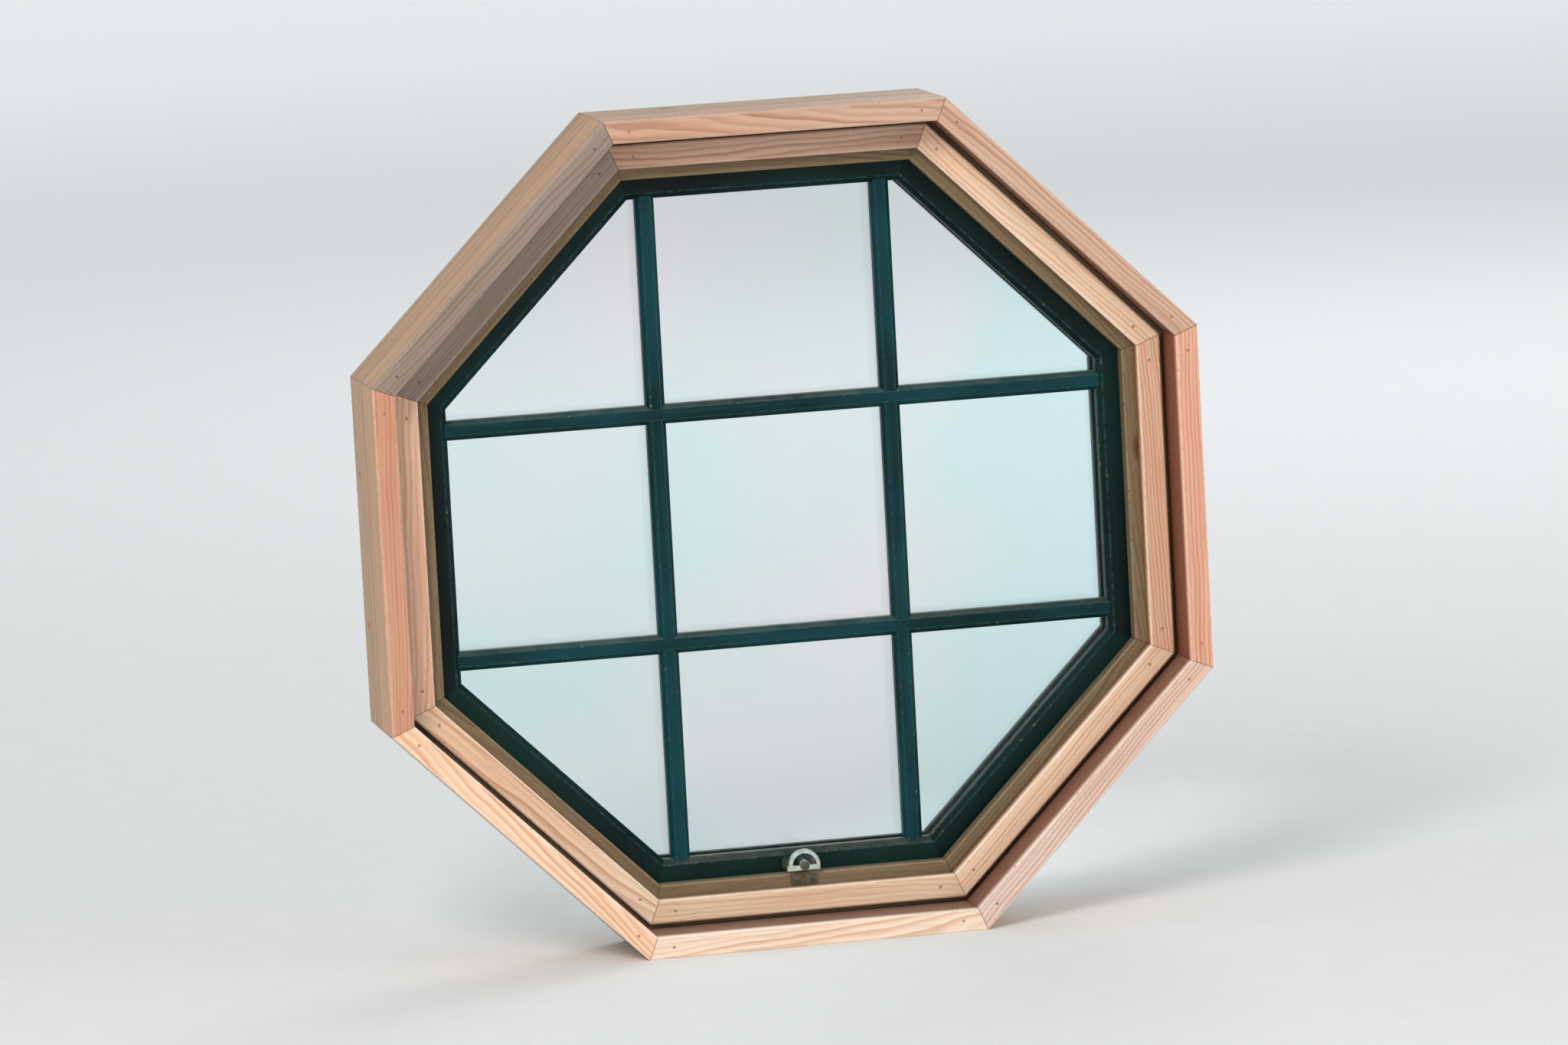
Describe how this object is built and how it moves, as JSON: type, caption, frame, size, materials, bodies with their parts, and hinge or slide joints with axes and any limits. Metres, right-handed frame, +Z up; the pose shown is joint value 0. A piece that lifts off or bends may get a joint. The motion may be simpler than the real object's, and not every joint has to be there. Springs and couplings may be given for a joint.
{
  "type": "octagonal oculus window",
  "caption": "Octagonal attic window: mitred pine frame and a dark painted sash with a grid of glazing bars, hinged at the top to swing outwards, with a turning catch.",
  "frame": {"origin": "centre of the frame's bottom flat, at half the frame's depth", "axes": "+Z up, -Y towards the room, +Y towards the outside, +X to the right as seen from the room"},
  "size_m": [0.61, 0.1002, 0.61],
  "materials": {
    "frame_pine": "oiled pine, darkened in the reveal",
    "jamb_pine": "oiled pine with pale worn arrises",
    "liner_pine": "oiled pine with pale worn arrises",
    "sash_paint": "dark green-black satin paint on wood",
    "bead_paint": "dark green-black satin paint on wood",
    "bar_paint": "dark green-black satin paint on wood",
    "inner_glass": "clear float glass",
    "outer_glass": "clear float glass",
    "spacer_bar": "mill finish",
    "seal_rubber": "matt black",
    "hinge_metal": "zinc plated",
    "pin_steel": "bright steel",
    "screw_steel": "zinc plated",
    "catch_base_metal": "dull grey-green zinc",
    "catch_lever_metal": "pale grey-green, worn bright at the edges",
    "keeper_metal": "dull zinc"
  },
  "bodies": {
    "frame": {"frame_member_bottom": "frame_pine", "frame_member_lower_right": "frame_pine", "frame_member_right": "frame_pine", "frame_member_upper_right": "frame_pine", "frame_member_top": "frame_pine", "frame_member_upper_left": "frame_pine", "frame_member_left": "frame_pine", "frame_member_lower_left": "frame_pine", "jamb_board_bottom": "jamb_pine", "jamb_board_lower_right": "jamb_pine", "jamb_board_right": "jamb_pine", "jamb_board_upper_right": "jamb_pine", "jamb_board_top": "jamb_pine", "jamb_board_upper_left": "jamb_pine", "jamb_board_left": "jamb_pine", "jamb_board_lower_left": "jamb_pine", "liner_bottom": "liner_pine", "liner_lower_right": "liner_pine", "liner_right": "liner_pine", "liner_upper_right": "liner_pine", "liner_top": "liner_pine", "liner_upper_left": "liner_pine", "liner_left": "liner_pine", "liner_lower_left": "liner_pine", "weatherstrip": "seal_rubber", "frame_screws": "screw_steel", "latch_keeper": "keeper_metal", "left_hinge_frame_leaf": "hinge_metal", "left_hinge_pin": "pin_steel", "right_hinge_frame_leaf": "hinge_metal", "right_hinge_pin": "pin_steel"},
    "sash": {"sash_rail_bottom": "sash_paint", "sash_rail_lower_right": "sash_paint", "sash_rail_right": "sash_paint", "sash_rail_upper_right": "sash_paint", "sash_rail_top": "sash_paint", "sash_rail_upper_left": "sash_paint", "sash_rail_left": "sash_paint", "sash_rail_lower_left": "sash_paint", "glazing_bead_bottom": "bead_paint", "glazing_bead_lower_right": "bead_paint", "glazing_bead_right": "bead_paint", "glazing_bead_upper_right": "bead_paint", "glazing_bead_top": "bead_paint", "glazing_bead_upper_left": "bead_paint", "glazing_bead_left": "bead_paint", "glazing_bead_lower_left": "bead_paint", "left_bar": "bar_paint", "right_bar": "bar_paint", "upper_bar": "bar_paint", "lower_bar": "bar_paint", "inner_pane": "inner_glass", "outer_pane": "outer_glass", "glass_spacer": "spacer_bar", "left_hinge_sash_leaf": "hinge_metal", "right_hinge_sash_leaf": "hinge_metal", "sash_screws": "screw_steel", "latch_base": "catch_base_metal", "latch_spindle": "screw_steel"},
    "catch": {"latch_lever": "catch_lever_metal"}
  },
  "joints": [
    {"name": "sash_swing", "type": "hinge", "parent": "frame", "child": "sash", "pos_m": [0, 0.0502, 0.5735], "axis": [1, 0, 0], "range_deg": [0, 45]},
    {"name": "catch_turn", "type": "hinge", "parent": "sash", "child": "catch", "pos_m": [0, -0.0046, 0.053], "axis": [0, -1, 0], "range_deg": [0, 90]}
  ]
}
